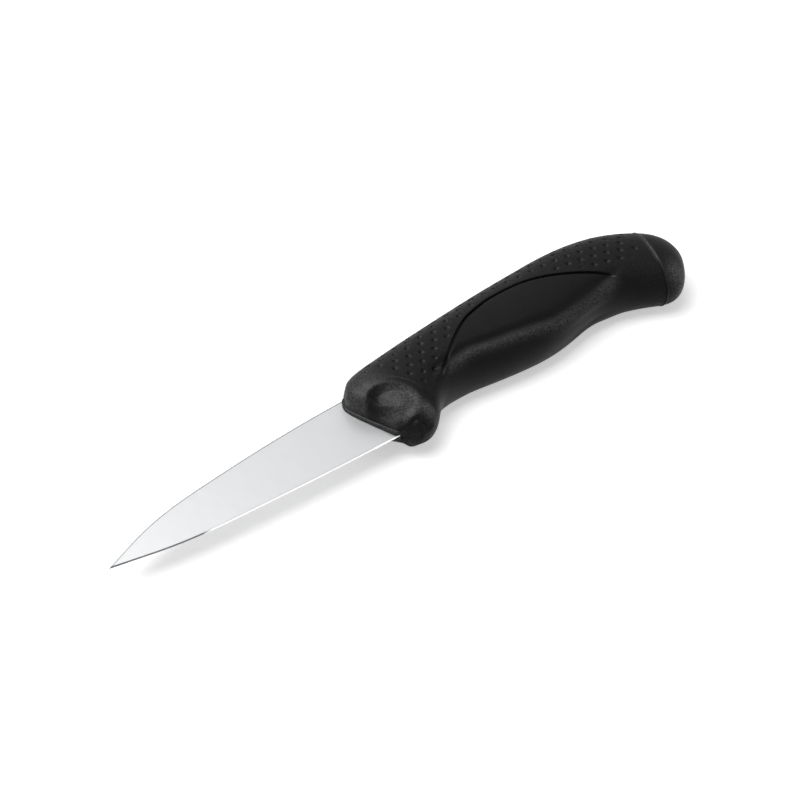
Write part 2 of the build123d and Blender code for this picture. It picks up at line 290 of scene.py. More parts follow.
class Skin:
    """Fine grid over the whole handle, with the measures that its features follow."""

    def __init__(self, sizes):
        self.sizes = sizes
        place, belly, spine, half, fullness = (np.array(c) for c in zip(*SECTION_SHARES))
        stations = np.stack([place * sizes.length, belly * sizes.height,
                             spine * sizes.height, half * sizes.thickness / 2])
        steps = np.sqrt((np.diff(stations, axis=1)**2).sum(axis=0))
        self.knots = np.concatenate([[0], np.cumsum(steps)])
        self.stations = stations
        self.fullness = fullness
        self.front = curve_through(FRONT_SHARES, sizes, 60)
        self.make_grid()

    def section(self, travel, t, quarter):
        """Point of a quarter section; travel is how far along the handle's stations."""
        x, belly, spine, half = (natural_spline(self.knots, row, travel) for row in self.stations)
        full = natural_spline(self.knots, self.fullness, travel)
        side = belly + SIDE_RISE_SHARE * (spine - belly)
        upper = side + ROUND_SHARE * (spine - side)
        lower = side - BELLY_REACH_SHARE * (side - belly)
        if quarter == 0:
            y = bezier((spine, spine, upper, side), t)
            z = bezier((0 * half, ROUND_SHARE * half, half, half), t)
        else:
            y = bezier((side, lower, belly, belly), t)
            z = bezier((half, half, full * half, 0 * half), t)
        return x, y, z

    def half_ring(self, travel):
        t = np.linspace(0, 1, QUARTER + 1)
        upper = self.section(travel[:QUARTER + 1], t, 0)
        lower = self.section(travel[QUARTER:], t, 1)
        return [np.concatenate([a[:-1], b]) for a, b in zip(upper, lower)]

    def front_at(self, y):
        cx, cy = self.front
        return np.interp(y, cy[::-1], cx[::-1])

    def nose_half(self, behind, up):
        """Half thickness of the nose at a distance behind the front; it slopes at the guard."""
        sizes = self.sizes
        rim, full = sizes.collar_thickness / 2 + SEAM_GAP, sizes.thickness / 2
        t = np.linspace(0, 1, 80)
        back = bezier((0, 0, sizes.nose_reach * (1 - ROUND_SHARE), sizes.nose_reach), t)
        out = bezier((rim, rim + (full - rim) * (1 - ROUND_SHARE), full, full), t)
        past = np.clip(behind - sizes.nose_reach, 0, None)
        swell = np.interp(behind, back, out) + SWELL_SLOPE * past
        slope = GUARD_SLOPE + SHOULDER_SLOPE * ease(*SHOULDER_HEIGHTS, up)
        slope += CHIN_SLOPE * ease(*CHIN_HEIGHTS, up)
        wedge = rim + slope * behind
        return -CREASE_BLEND * np.logaddexp(-swell / CREASE_BLEND, -wedge / CREASE_BLEND)

    def make_grid(self):
        count = 2 * QUARTER + 1
        start = np.full(count, self.knots[1])
        for _ in range(FRONT_PASSES):
            x, y, _z = self.half_ring(start)
            start = start + (self.front_at(y) - x) * PASS_SHARE
            start = np.clip(start, 0, None)
        nose = NOSE_SHARE * np.linspace(0, 1, NOSE_RINGS, endpoint=False)**2
        share = np.concatenate([nose, np.linspace(NOSE_SHARE, 1, RINGS - NOSE_RINGS)])
        rows = []
        for step in share:
            travel = start + (self.knots[-1] - start) * step
            rows.append(np.stack(self.half_ring(travel), axis=1))
        half = np.array(rows)
        near = half[:, :, 0] < NOSE_END
        self.behind_front = np.where(near, 0, FAR)
        near[0] = False
        self.behind_front[near] = abs(distance_to(self.front, half[near][:, 0], half[near][:, 1]))
        fill = half[:, :, 2] / self.nose_half(self.behind_front, half[:, :, 1])
        half[:, :, 2] /= (1 + fill**NOSE_BLEND)**(1 / NOSE_BLEND)
        out, inner = half[:, :, 2], near[1:-1, 1:-1]
        for _ in range(EVEN_PASSES):
            mean = (out[:-2, 1:-1] + out[2:, 1:-1] + out[1:-1, :-2] + out[1:-1, 2:]) / 4
            out[1:-1, 1:-1] += np.where(inner, PASS_SHARE * (mean - out[1:-1, 1:-1]), 0)
        self.points = with_back(half, np.array((1, 1, -1)))
        self.behind_front = with_back(self.behind_front)
        around = np.diff(self.points, axis=1, append=self.points[:, :1])
        along = np.gradient(self.points, axis=0)
        around = (around + np.roll(around, 1, axis=1)) / 2
        normal = np.cross(around, along)
        normal /= np.linalg.norm(normal, axis=2, keepdims=True) + 1e-12
        if normal[RINGS // 2, 0, 1] < 0:
            normal = -normal
        normal[-1] = (1, 0, 0)
        self.normals = normal
        step = np.linalg.norm(np.diff(half, axis=1), axis=2)
        girth = np.concatenate([np.zeros((RINGS, 1)), np.cumsum(step, axis=1)], axis=1)
        self.girth = with_back(girth, -1)

    def slot(self):
        """First and last point of the front's rim that border the slot for the collar."""
        up = self.points[0][:2 * QUARTER + 1, 1]
        beside = np.nonzero((up > COLLAR_LOW) & (up < COLLAR_HIGH))[0]
        return beside[0], beside[-1]


class Patch:
    """Loose polygons over the skin that can be cut along a level of any measure."""

    def __init__(self, columns, faces):
        self.columns = {name: list(values) for name, values in columns.items()}
        self.faces = faces

    def cut(self, name, level):
        """Splits the faces that cross a level of a named measure."""
        values = self.columns[name]
        cuts = {}

        def crossing(a, b):
            key = (min(a, b), max(a, b))
            if key not in cuts:
                t = (level - values[a]) / (values[b] - values[a])
                for column in self.columns.values():
                    column.append(column[a] + (column[b] - column[a]) * t)
                cuts[key] = len(values) - 1
            return cuts[key]

        kept = []
        for face in self.faces:
            over = [values[index] > level for index in face]
            if all(over) or not any(over):
                kept.append(face)
                continue
            above, below = [], []
            for position, index in enumerate(face):
                following = face[(position + 1) % len(face)]
                (above if values[index] > level else below).append(index)
                if (values[index] > level) != (values[following] > level):
                    middle = crossing(index, following)
                    above.append(middle)
                    below.append(middle)
            kept += [above, below]
        self.faces = [face for face in kept if len(face) > 2]

    def keep(self, **ranges):
        """Faces whose middles lie within a range of each named measure."""
        flat = np.concatenate([np.asarray(face) for face in self.faces])
        lengths = np.array([len(face) for face in self.faces])
        starts = np.concatenate([[0], np.cumsum(lengths)[:-1]])
        chosen = np.ones(len(self.faces), bool)
        for name, (low, high) in ranges.items():
            middle = np.add.reduceat(self[name][flat], starts) / lengths
            chosen &= (middle > low) & (middle < high)
        faces = [face for face, wanted in zip(self.faces, chosen) if wanted]
        used = np.unique(np.concatenate([np.asarray(face) for face in faces]))
        renumber = np.zeros(len(self.columns["place"]), int)
        renumber[used] = np.arange(len(used))
        columns = {name: self[name][used] for name in self.columns}
        return Patch(columns, [renumber[face].tolist() for face in faces])

    def __getitem__(self, name):
        return np.array(self.columns[name])


def add_object(name, data):
    thing = bpy.data.objects.new(name, data)
    bpy.context.scene.collection.objects.link(thing)
    return thing


def make_object(name, points, faces):
    mesh = bpy.data.meshes.new(name)
    mesh.from_pydata([tuple(point) for point in points], [], faces)
    mesh.validate()
    for polygon in mesh.polygons:
        polygon.use_smooth = True
    return add_object(name, mesh)


def turn_outward(piece):
    """Welds what the cuts left loose and turns every face outward."""
    mesh = bmesh.new()
    mesh.from_mesh(piece.data)
    bmesh.ops.remove_doubles(mesh, verts=mesh.verts, dist=WELD)
    bmesh.ops.recalc_face_normals(mesh, faces=mesh.faces)
    mesh.to_mesh(piece.data)
    mesh.free()


SKINS = {}


def skin_patch(sizes):
    """The whole skin and its uncut patch, made once for each set of sizes."""
    values = tuple(getattr(sizes, name) for name in HandleSizes.__annotations__)
    if values in SKINS:
        return SKINS[values]
    skin = Skin(sizes)
    rows, count = skin.points.shape[:2]
    x, y = skin.points[:, :, 0], skin.points[:, :, 1]
    panel = distance_to(curve_through(PANEL_SHARES, sizes, 160), x, y)
    slant = sizes.seam_slant
    beyond = (x - sizes.seam_reach) * math.cos(slant) - y * math.sin(slant)
    columns = {
        "place": skin.points.reshape(-1, 3),
        "normal": skin.normals.reshape(-1, 3),
        "panel": panel.reshape(-1),
        "beyond": beyond.reshape(-1),
        "front": skin.behind_front.reshape(-1),
        "girth": skin.girth.reshape(-1),
    }
    SKINS[values] = skin, Patch(columns, grid_faces(rows, count))
    return SKINS[values]


def round_over(distance, radius):
    """Depth of a rounded edge at a distance inside it."""
    inside = np.clip(radius - distance, 0, radius)
    return radius - np.sqrt(np.clip(radius**2 - inside**2, 0, None))


# Relief, placed behind the blade junction and above its middle; a pair of lengths is often
# a stretch over which something fades. The ridge: its ends, its valley and its crest
RIDGE_START, RIDGE_END = mm(15, 24), mm(80, 88)
VALLEY_RISE, VALLEY_WIDTH, VALLEY_DEPTH = mm(2.4, 1.1, 0.65)
CREST_RISE, CREST_WIDTH, CREST_DEPTH = mm(0.3, 1.2, -0.3)
RUNOUT_WIDTH, RUNOUT_DEPTH = mm(0.9, 0.35)
# Out from the middle plane, where the relief starts
SIDE_START = mm(1.5, 3.5)
# The thumb scoop, its wall as shares of its half sizes, and the arc behind it
THUMB_MIDDLE, THUMB_HALF = mm(4.4, -2.9), mm(5.1, 8.3)
THUMB_LEAN = math.radians(40)
SCOOP_WALL = (0.95, 0.53)
ARC_REACH = 1.22
ARC_SCALE, ARC_WIDTH, ARC_DEPTH = mm(5, 0.3, 0.25)
# The finger guard: a crest that falls toward the rear, the flank below it and its tip
GUARD_CREST, GUARD_FALL = mm(3, -8.2), 0.38
FLANK_START, FLANK_END, FLANK_DEPTH = mm(-0.1, 1.4), mm(2, 6.5), 1.8 * MM
FLANK_REAR, FLANK_SIDE, FLANK_FRONT = mm(7.5, 10.5), mm(1, 3), mm(0, 3.5)
GUARD_TIP, GUARD_TIP_RADIUS, GUARD_TIP_DEPTH = mm(10.6, -9.3), 1.3 * MM, -0.35 * MM
# The front's rim stays as it is; the relief starts behind it
RIM_FADE = mm(0, 0.5)


def above_ridge(sizes, x, y):
    """How far a place lies above the ridge between the side and the belly."""
    return y - np.interp(x, *curve_through(RIDGE_SHARES, sizes, 120))


def below_crest(x, y):
    """How far a place lies below the crest across the finger guard."""
    return GUARD_CREST[1] - GUARD_FALL * (x - GUARD_CREST[0]) - y


def thumb_place(x, y):
    """Places across and along the thumb scoop, as shares of its half sizes."""
    x, y = x - THUMB_MIDDLE[0], y - THUMB_MIDDLE[1]
    across = x * math.cos(THUMB_LEAN) + y * math.sin(THUMB_LEAN)
    along = x * math.sin(THUMB_LEAN) - y * math.cos(THUMB_LEAN)
    return across / THUMB_HALF[0], along / THUMB_HALF[1]


def relief(sizes, patch):
    """Depth of the ridge, its valley, the thumb scoop, the arc behind it and the guard."""
    (x, y, z), front = patch["place"].T, patch["front"]
    above = above_ridge(sizes, x, y)
    side = ease(*SIDE_START, np.abs(z))
    valley = VALLEY_DEPTH * bell(above - VALLEY_RISE, VALLEY_WIDTH)
    crest = CREST_DEPTH * bell(above - CREST_RISE, CREST_WIDTH)
    depth = (valley + crest) * stretch(RIDGE_START, RIDGE_END, x) * side
    across, along = thumb_place(x, y)
    reach = np.hypot(across, along)
    # The scoop is deepest toward the spine
    ramp = np.clip(0.6 - 0.5 * along + 0.2 * across, 0.05, 1.1)
    depth += sizes.scoop_depth * ease(*SCOOP_WALL, reach) * ramp * side
    runout = distance_to(curve_through(VALLEY_SHARES, sizes, 24), x, y)
    depth += RUNOUT_DEPTH * bell(runout, RUNOUT_WIDTH) * side
    arc = np.abs(reach - ARC_REACH) * ARC_SCALE
    behind = ease(0.2, 0.7, across) * ease(-0.7, 0, along)
    depth += ARC_DEPTH * bell(arc, ARC_WIDTH) * behind * side
    flank = stretch(FLANK_START, FLANK_END, below_crest(x, y))
    guard = (1 - ease(*FLANK_REAR, x)) * ease(*FLANK_SIDE, np.abs(z))
    depth += FLANK_DEPTH * flank * guard * ease(*FLANK_FRONT, front)
    depth += GUARD_TIP_DEPTH * spot(x, y, GUARD_TIP, GUARD_TIP_RADIUS) * side
    return depth * ease(*RIM_FADE, front)


# Painted highlights: how pale each one is, and where the round ones lie with their radius
RIDGE_SHINE, SCOOP_SHINE, NOSE_SHINE, FACE_SHINE, SEAM_SHINE = 0.42, 0.55, 0.4, 0.17, 0.9
NOSE_SPOT = mm(0.5, 5.0), 4.2 * MM
GUARD_SPOT = mm(10.4, -9.7), 1.8 * MM
BUTT_SPOT = mm(100.5, -10.3), 3.2 * MM
# Where those fade: along the ridge, into the panel, over the nose's face and up the seam
SHINE_START, SHINE_END, PANEL_FADE = mm(15, 20), mm(80, 86), mm(0.2, 1.2)
LINE_RISE, LINE_WIDTH, LIP_WIDTH = mm(0.6, 1.2, 0.45)
FACE_REAR, FACE_LOW, LIP_LOW = mm(5, 10), mm(0, 0.4), mm(-7, -3)
# Ahead of this place the panel's border runs up from the belly
BORDER_TURN = 40 * MM
# Where the groove closes: toward the butt, and down toward the belly
GROOVE_REAR, GROOVE_LOW = mm(82, 84), mm(-3.5, -0.5)
# Painted highlights go only on the side that faces up, where the light falls
FAR_SIDE = -2 * MM


def paint_highlights(sizes, patch):
    """Share of painted highlight on the nose, scoop, ridge, guard, seam lip and butt."""
    (x, y, z), beyond = patch["place"].T, patch["beyond"]
    inside = np.where(x < BORDER_TURN, ease(*PANEL_FADE, patch["panel"]), 1)
    line = bell(above_ridge(sizes, x, y) - LINE_RISE, LINE_WIDTH)
    shine = RIDGE_SHINE * line * stretch(SHINE_START, SHINE_END, x) * inside
    across, along = thumb_place(x, y)
    reach = np.hypot(across, along)
    floor = ease(1.0, 0.7, reach) * ease(-0.8, 0.1, along + 0.3 * across)
    nose = spot(x, y, *NOSE_SPOT)
    face = (1 - ease(*FACE_REAR, x)) * ease(*FACE_LOW, -below_crest(x, y))
    rim = ease(0.85, 1.0, reach)
    shine += SCOOP_SHINE * floor + (NOSE_SHINE * nose + FACE_SHINE * face) * rim
    shine += spot(x, y, *GUARD_SPOT)
    shine += spot(x, y, *BUTT_SPOT) * (beyond > 0)
    shine += SEAM_SHINE * bell(beyond, LIP_WIDTH) * ease(*LIP_LOW, y)
    return np.clip(shine, 0, 1) * (z > FAR_SIDE)


def groove_open(patch):
    """1 along the arched groove; it closes where the panel's border runs down to the belly."""
    x, y, _z = patch["place"].T
    front = np.where(x < BORDER_TURN, ease(*GROOVE_LOW, y), 1)
    return (1 - ease(*GROOVE_REAR, x)) * front


def placed(patch, depth):
    return patch["place"] - patch["normal"] * depth[:, None] + np.array(JUNCTION)


def close_ring(points, faces, ring):
    """Closes a ring of points, taken in turn round its middle, with a fan from there."""
    middle = np.mean([points[index] for index in ring], axis=0)
    ring = sorted(ring, key=lambda index: math.atan2(points[index][1] - middle[1],
                                                     points[index][2] - middle[2]))
    for corner, following in zip(ring, ring[1:] + ring[:1]):
        faces.append([corner, following, len(points)])
    points.append(middle)


# Materials

def linear(hex_colour):
    """Linear colour from an sRGB hex value."""
    def channel(value):
        return value / 12.92 if value <= 0.04045 else ((value + 0.055) / 1.055)**2.4
    parts = [int(hex_colour[index:index + 2], 16) / 255 for index in (0, 2, 4)]
    return (*[channel(value) for value in parts], 1.0)


def plug(tree, node, inputs):
    """Fills a node's inputs; each takes a value or a socket to link from."""
    for name, value in inputs.items():
        if isinstance(value, bpy.types.NodeSocket):
            tree.links.new(value, node.inputs[name])
        else:
            node.inputs[name].default_value = value


def add_node(tree, kind, settings=None, inputs=None):
    """Adds a node with its settings and fills its inputs."""
    node = tree.nodes.new(kind)
    for name, value in (settings or {}).items():
        setattr(node, name, value)
    plug(tree, node, inputs or {})
    return node


def maths(tree, operation, first, second=0.0):
    """Output of a math node on two values or sockets."""
    node = add_node(tree, "ShaderNodeMath", {"operation": operation}, {0: first, 1: second})
    return node.outputs["Value"]


def map_range(tree, value, low, high, start=0.0, end=1.0):
    """Output that runs from start to end while a socket runs from low to high."""
    node = add_node(tree, "ShaderNodeMapRange", inputs={
        "Value": value, "From Min": low, "From Max": high, "To Min": start, "To Max": end})
    return node.outputs["Result"]


def mix_colours(tree, share, under, over):
    node = add_node(tree, "ShaderNodeMix", {"data_type": "RGBA"},
                    {"Factor": share, "A": under, "B": over})
    return node.outputs["Result"]


def noise(tree, place, **inputs):
    node = add_node(tree, "ShaderNodeTexNoise", inputs={"Vector": place, **inputs})
    return node.outputs["Fac"]


def bump(tree, height, strength, distance):
    node = add_node(tree, "ShaderNodeBump", inputs={
        "Height": height, "Strength": strength, "Distance": distance})
    return node.outputs["Normal"]


def bare_tree(owner):
    """The emptied node tree of a material or a world."""
    owner.use_nodes = True
    owner.node_tree.nodes.clear()
    return owner.node_tree


def new_material(name):
    material = bpy.data.materials.new(name)
    tree = bare_tree(material)
    shader = add_node(tree, "ShaderNodeBsdfPrincipled")
    add_node(tree, "ShaderNodeOutputMaterial", inputs={"Surface": shader.outputs["BSDF"]})
    coordinates = add_node(tree, "ShaderNodeTexCoord")
    return material, tree, shader, coordinates.outputs["Object"]


def outline_curve(tree, along, border):
    """Height of the blade's outline at a place along it, from a list of its corners."""
    low, high = border[0][0], border[-1][0]
    share = map_range(tree, along, low, high)
    curve = add_node(tree, "ShaderNodeFloatCurve", inputs={"Value": share})
    bottom, top = BLADE_LOW.y, BLADE_HIGH.y
    knots = [((x - low) / (high - low), (y - bottom) / (top - bottom)) for x, y in border]
    points = curve.mapping.curves[0].points
    points[0].location, points[1].location = knots[0], knots[-1]
    for knot in knots[1:-1]:
        points.new(*knot)
    for point in points:
        point.handle_type = "VECTOR"
    curve.mapping.update()
    return map_range(tree, curve.outputs["Value"], 0.0, 1.0, bottom, top)


BORDER_SPANS, TIP_CROWDING = 31, 1.5


def blade_borders(blade):
    """Corners along the spine and along the edge, closer together near the tip."""
    corners = np.array([blade.matrix_world @ vertex.co for vertex in blade.data.vertices])
    corners = corners[np.lexsort((corners[:, 1], corners[:, 0]))]
    shares = np.linspace(0, 1, BORDER_SPANS)**TIP_CROWDING
    spans = BLADE_LOW.x + (JUNCTION.x - BLADE_LOW.x) * shares
    borders = []
    for sign in (1, -1):
        shell = outer_shell(corners, sign)
        borders.append(list(zip(spans, np.interp(spans, shell[:, 0], shell[:, 1]))))
    return borders


def outer_shell(corners, sign):
    """The corners of a flat outline's taut upper (sign 1) or lower (sign -1) side."""
    shell = []
    for x, y in corners[:, :2]:
        while len(shell) > 1:
            (ax, ay), (bx, by) = shell[-2:]
            if sign * ((bx - ax) * (y - ay) - (by - ay) * (x - ax)) < 0:
                break
            shell.pop()
        shell.append((x, y))
    return np.array(shell)


# How softly the blade's lines end across and along it; the grinding belt's grit, how drawn
# out its scratches are, and the roughness that they leave
LINE_EDGE, LINE_END, GRIT = mm(0.1, 3, 0.18)
SCRATCH_LENGTH = 50
STEEL_ROUGHNESS = (0.34, 0.42)


def satin_ground_steel(colour, blade):
    """Stamped stainless steel, belt ground across the blade: soft, faintly streaked gloss."""
    material, tree, shader, place = new_material("Satin ground stainless steel")
    parts = add_node(tree, "ShaderNodeSeparateXYZ", inputs={"Vector": place})
    along, up = parts.outputs["X"], parts.outputs["Y"]
    spine, edge = blade_borders(blade)
    tint = linear(colour)
    # The spine and the bevel show as painted lines: border, colour, half width and reach. The dark
    # spine line is painted shade, the pale edge line a painted highlight on the bevel, and the dark
    # edge line near the tip painted shade
    lines = (
        (spine, "7E7F80", 0.28 * MM, FAR),
        (edge, "F4F5F5", 0.16 * MM, FAR),
        (edge, "4A4B4C", 0.30 * MM, BLADE_LOW.x + 26 * MM),
    )
    for border, hex_colour, width, reach in lines:
        off = maths(tree, "SUBTRACT", up, outline_curve(tree, along, border))
        gap = maths(tree, "ABSOLUTE", off)
        line = map_range(tree, gap, width, width + LINE_EDGE, 1.0, 0.0)
        ahead = map_range(tree, along, reach, reach + LINE_END, 1.0, 0.0)
        both = maths(tree, "MULTIPLY", line, ahead)
        tint = mix_colours(tree, both, tint, linear(hex_colour))
    # The belt's scratches run across the blade, from its spine to its edge
    scale = (1 / GRIT, 1 / SCRATCH_LENGTH / GRIT, 1 / GRIT)
    across = add_node(tree, "ShaderNodeMapping", inputs={"Vector": place, "Scale": scale})
    streaks = noise(tree, across.outputs["Vector"], Scale=1.0, Detail=3.0)
    plug(tree, shader, {
        "Metallic": 1.0,
        "Base Color": tint,
        "Roughness": map_range(tree, streaks, 0.0, 1.0, *STEEL_ROUGHNESS),
        "Normal": bump(tree, streaks, 0.06, 0.02 * MM),
    })
    return material


# The pale colour painted as highlights on black plastic, its grain, and how its sheen drifts over
# the handle
HIGHLIGHT_PAINT = "484848"
GRAIN, CLOUD = mm(0.5, 6)
ROUGHNESS_DRIFT = 0.06


def moulded_plastic(name, colour, roughness, bump_depth, speckle):
    """Black moulded plastic whose spark-eroded tool leaves a fine even grain."""
    if name in bpy.data.materials:
        return bpy.data.materials[name]
    material, tree, shader, place = new_material(name)
    fine = noise(tree, place, Scale=1 / GRAIN, Detail=2.0, Roughness=0.6)
    cloudy = noise(tree, place, Scale=1 / CLOUD, Detail=2.0)
    base = linear(colour)
    pale = tuple(min(1.0, part * (1 + speckle)) for part in base[:3]) + (1.0,)
    tint = mix_colours(tree, map_range(tree, fine, 0.5, 0.72), base, pale)
    # Painted highlights: the base colour turns pale where the points carry a painted highlight
    # share, broken up by the grain
    highlight_attribute = add_node(tree, "ShaderNodeAttribute", {"attribute_name": "painted_highlight"})
    broken = map_range(tree, fine, 0.35, 0.65, 0.3, 1.5)
    share = maths(tree, "MULTIPLY", highlight_attribute.outputs["Fac"], broken)
    mixed = maths(tree, "ADD", fine, cloudy)
    low, high = roughness - ROUGHNESS_DRIFT, roughness + ROUGHNESS_DRIFT
    plug(tree, shader, {
        "IOR": 1.49,
        "Specular IOR Level": 0.08,
        "Base Color": mix_colours(tree, share, tint, linear(HIGHLIGHT_PAINT)),
        "Roughness": map_range(tree, mixed, 0.6, 1.4, low, high),
        "Normal": bump(tree, fine, 0.6, bump_depth),
    })
    return material


def hard_polypropylene(colour):
    """Injection moulded polypropylene, the first shot: smooth with a low even sheen."""
    return moulded_plastic("Moulded black polypropylene", colour, 0.45, 0.10 * MM, 0.8)


def soft_elastomer(colour):
    """Thermoplastic elastomer, the second shot: rougher, with a dry broken sheen."""
    return moulded_plastic("Soft black elastomer", colour, 0.48, 0.30 * MM, 2.0)


def dress(piece, material):
    piece.data.materials.clear()
    piece.data.materials.append(material)


# Grip pits

# How steep a pit's wall is: above 1 it has a flat floor
PIT_STEEPNESS = 1.8


def pit_tree(material):
    """Geometry nodes that press staggered round pits into a skin."""
    tree = bpy.data.node_groups.new("Grip pits", "GeometryNodeTree")
    tree.interface.new_socket("Geometry", in_out="INPUT", socket_type="NodeSocketGeometry")
    for name in ("Pitch", "Row Gap", "Radius", "Depth"):
        tree.interface.new_socket(name, in_out="INPUT", socket_type="NodeSocketFloat")
    tree.interface.new_socket("Geometry", in_out="OUTPUT", socket_type="NodeSocketGeometry")
    entry = add_node(tree, "NodeGroupInput")
    calc = partial(maths, tree)

    def measure(name, kind="FLOAT"):
        node = add_node(tree, "GeometryNodeInputNamedAttribute", {"data_type": kind},
                        {"Name": name})
        return node.outputs["Attribute"]

    pitch, row_gap = entry.outputs["Pitch"], entry.outputs["Row Gap"]
    rows = calc("DIVIDE", measure("girth"), row_gap)
    row = calc("ROUND", rows)
    off_row = calc("MULTIPLY", calc("SUBTRACT", rows, row), row_gap)
    stagger = calc("MULTIPLY", calc("FLOORED_MODULO", row, 2.0), 0.5)
    places = calc("ADD", calc("DIVIDE", measure("along"), pitch), stagger)
    off_place = calc("MULTIPLY", calc("SUBTRACT", places, calc("ROUND", places)), pitch)
    squares = (calc("MULTIPLY", off, off) for off in (off_row, off_place))
    gap = calc("SQRT", calc("ADD", *squares))
    dish = calc("SUBTRACT", 1.0, calc("DIVIDE", gap, entry.outputs["Radius"]))
    dish = calc("MAXIMUM", calc("MULTIPLY", dish, PIT_STEEPNESS), 0.0)
    depth = calc("MULTIPLY", calc("MINIMUM", dish, 1.0), entry.outputs["Depth"])
    inward = calc("MULTIPLY", calc("MULTIPLY", depth, measure("pitted")), -1.0)
    push = add_node(tree, "ShaderNodeVectorMath", {"operation": "SCALE"},
                    {0: measure("outward", "FLOAT_VECTOR"), "Scale": inward})
    geometry = entry.outputs["Geometry"]
    for kind, inputs in (("SetPosition", {"Offset": push.outputs["Vector"]}),
                         ("RealizeInstances", {}),
                         ("SetMaterial", {"Material": material})):
        node = add_node(tree, f"GeometryNode{kind}", inputs={"Geometry": geometry, **inputs})
        geometry = node.outputs["Geometry"]
    add_node(tree, "NodeGroupOutput", inputs={"Geometry": geometry})
    return tree


def press_pits(piece, sizes, material):
    """Presses the pits into a piece and keeps the pressed mesh."""
    modifier = piece.modifiers.new("Pits", "NODES")
    modifier.node_group = pit_tree(material)
    values = {"Pitch": sizes.pit_pitch, "Row Gap": sizes.row_gap,
              "Radius": sizes.pit_radius, "Depth": sizes.pit_depth}
    for item in modifier.node_group.interface.items_tree:
        if item.in_out == "INPUT" and item.name in values:
            modifier[item.identifier] = values[item.name]
    bpy.context.view_layer.update()
    evaluated = piece.evaluated_get(bpy.context.evaluated_depsgraph_get())
    mesh = bpy.data.meshes.new_from_object(evaluated)
    piece.modifiers.remove(modifier)
    old = piece.data
    piece.data = mesh
    bpy.data.meshes.remove(old)


def store(piece, name, values, kind="FLOAT", field="value"):
    """Keeps a value or a vector for each point of a piece."""
    layer = piece.data.attributes.new(name, kind, "POINT")
    layer.data.foreach_set(field, np.asarray(values, dtype=np.float32).ravel())


# Pieces

class KNIFE_OT_blade(bpy.types.Operator):
    """Gives the blade its satin ground finish"""

    bl_idname = "knife.blade"
    bl_label = "Blade"

    def execute(self, context):
        colours = context.scene.finish_colours
        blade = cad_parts["blade"]
        dress(blade, satin_ground_steel(colours.steel, blade))
        return {"FINISHED"}


class KNIFE_OT_core(bpy.types.Operator):
    """Moulds the hard core: the palm panels, the belly and the collar"""

    bl_idname = "knife.core"
    bl_label = "Core"

    # The panel's rounded edge, its groove's wall, and the groove's depth where it has closed
    EDGE, GROOVE_WALL, CLOSED_GROOVE = mm(0.35, 0.1, 0.03)
    # The collar's front: how far behind the front and how much smaller each of its rings is
    COLLAR_RINGS = ((4 * MM, 0), (0, 0), mm(-0.25, 0.05), mm(-0.5, 0.2),
                    mm(-0.62, 0.45), mm(-0.66, 0.7))
    COLLAR_STEPS = 40
    # Even painted highlight over the collar band, for the light on its rounded face
    COLLAR_SHINE = 0.3

    def execute(self, context):
        sizes = context.scene.handle_sizes
        skin, patch = skin_patch(sizes)
        width, edge = sizes.groove_width, self.EDGE
        body = patch.keep(panel=(-2 * width, FAR))
        for share in (1, 0.6, 0.3, 0.1, 0):
            body.cut("panel", edge * share)
        body.cut("panel", -self.GROOVE_WALL)
        body.cut("panel", -1.5 * width)
        body = body.keep(panel=(-1.5 * width, FAR))
        panel, shape, open_share = body["panel"], relief(sizes, body), groove_open(body)
        top_drop = shape + round_over(panel, edge) * open_share
        floor_drop = shape + open_share * sizes.groove_depth
        floor_drop += (1 - open_share) * self.CLOSED_GROOVE
        drop = np.where(panel < -self.GROOVE_WALL / 2, floor_drop, top_drop)
        points = list(placed(body, drop))
        band_points, band_faces = self.collar(sizes, skin)
        faces = body.faces + [[index + len(points) for index in face] for face in band_faces]
        core = make_object("core", points + band_points, faces)
        # Painted highlight shares for the body's points and for the collar band's
        band_shine = np.full(len(band_points), self.COLLAR_SHINE)
        store(core, "painted_highlight", np.concatenate([paint_highlights(sizes, body), band_shine]))
        turn_outward(core)
        dress(core, hard_polypropylene(context.scene.finish_colours.core))
        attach(core, "root")
        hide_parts("handle_core")
        return {"FINISHED"}

    def collar(self, sizes, skin):
        """Hard band round the blade, with rounded edges, standing just proud."""
        half, steps = sizes.collar_thickness / 2, self.COLLAR_STEPS
        first, last = skin.slot()
        high, low = skin.points[0][[first, last], 1] + np.array((-SEAM_GAP, SEAM_GAP))
        outline = [(half, y) for y in np.linspace(low, high, steps)]
        outline += [(-half, y) for y in np.linspace(high, low, steps)]
        points = []
        for reach, shrink in self.COLLAR_RINGS:
            for z, y in outline:
                across = z - math.copysign(shrink, z)
                up = min(max(y, low + shrink), high - shrink)
                place = np.array((skin.front_at(up) + reach, up, across))
                points.append(place + np.array(JUNCTION))
        count = len(outline)
        faces = grid_faces(len(self.COLLAR_RINGS), count)
        end = len(points) - count
        for step in range(steps - 1):
            faces.append([end + step, end + step + 1,
                          end + count - 2 - step, end + count - 1 - step])
        return points, faces


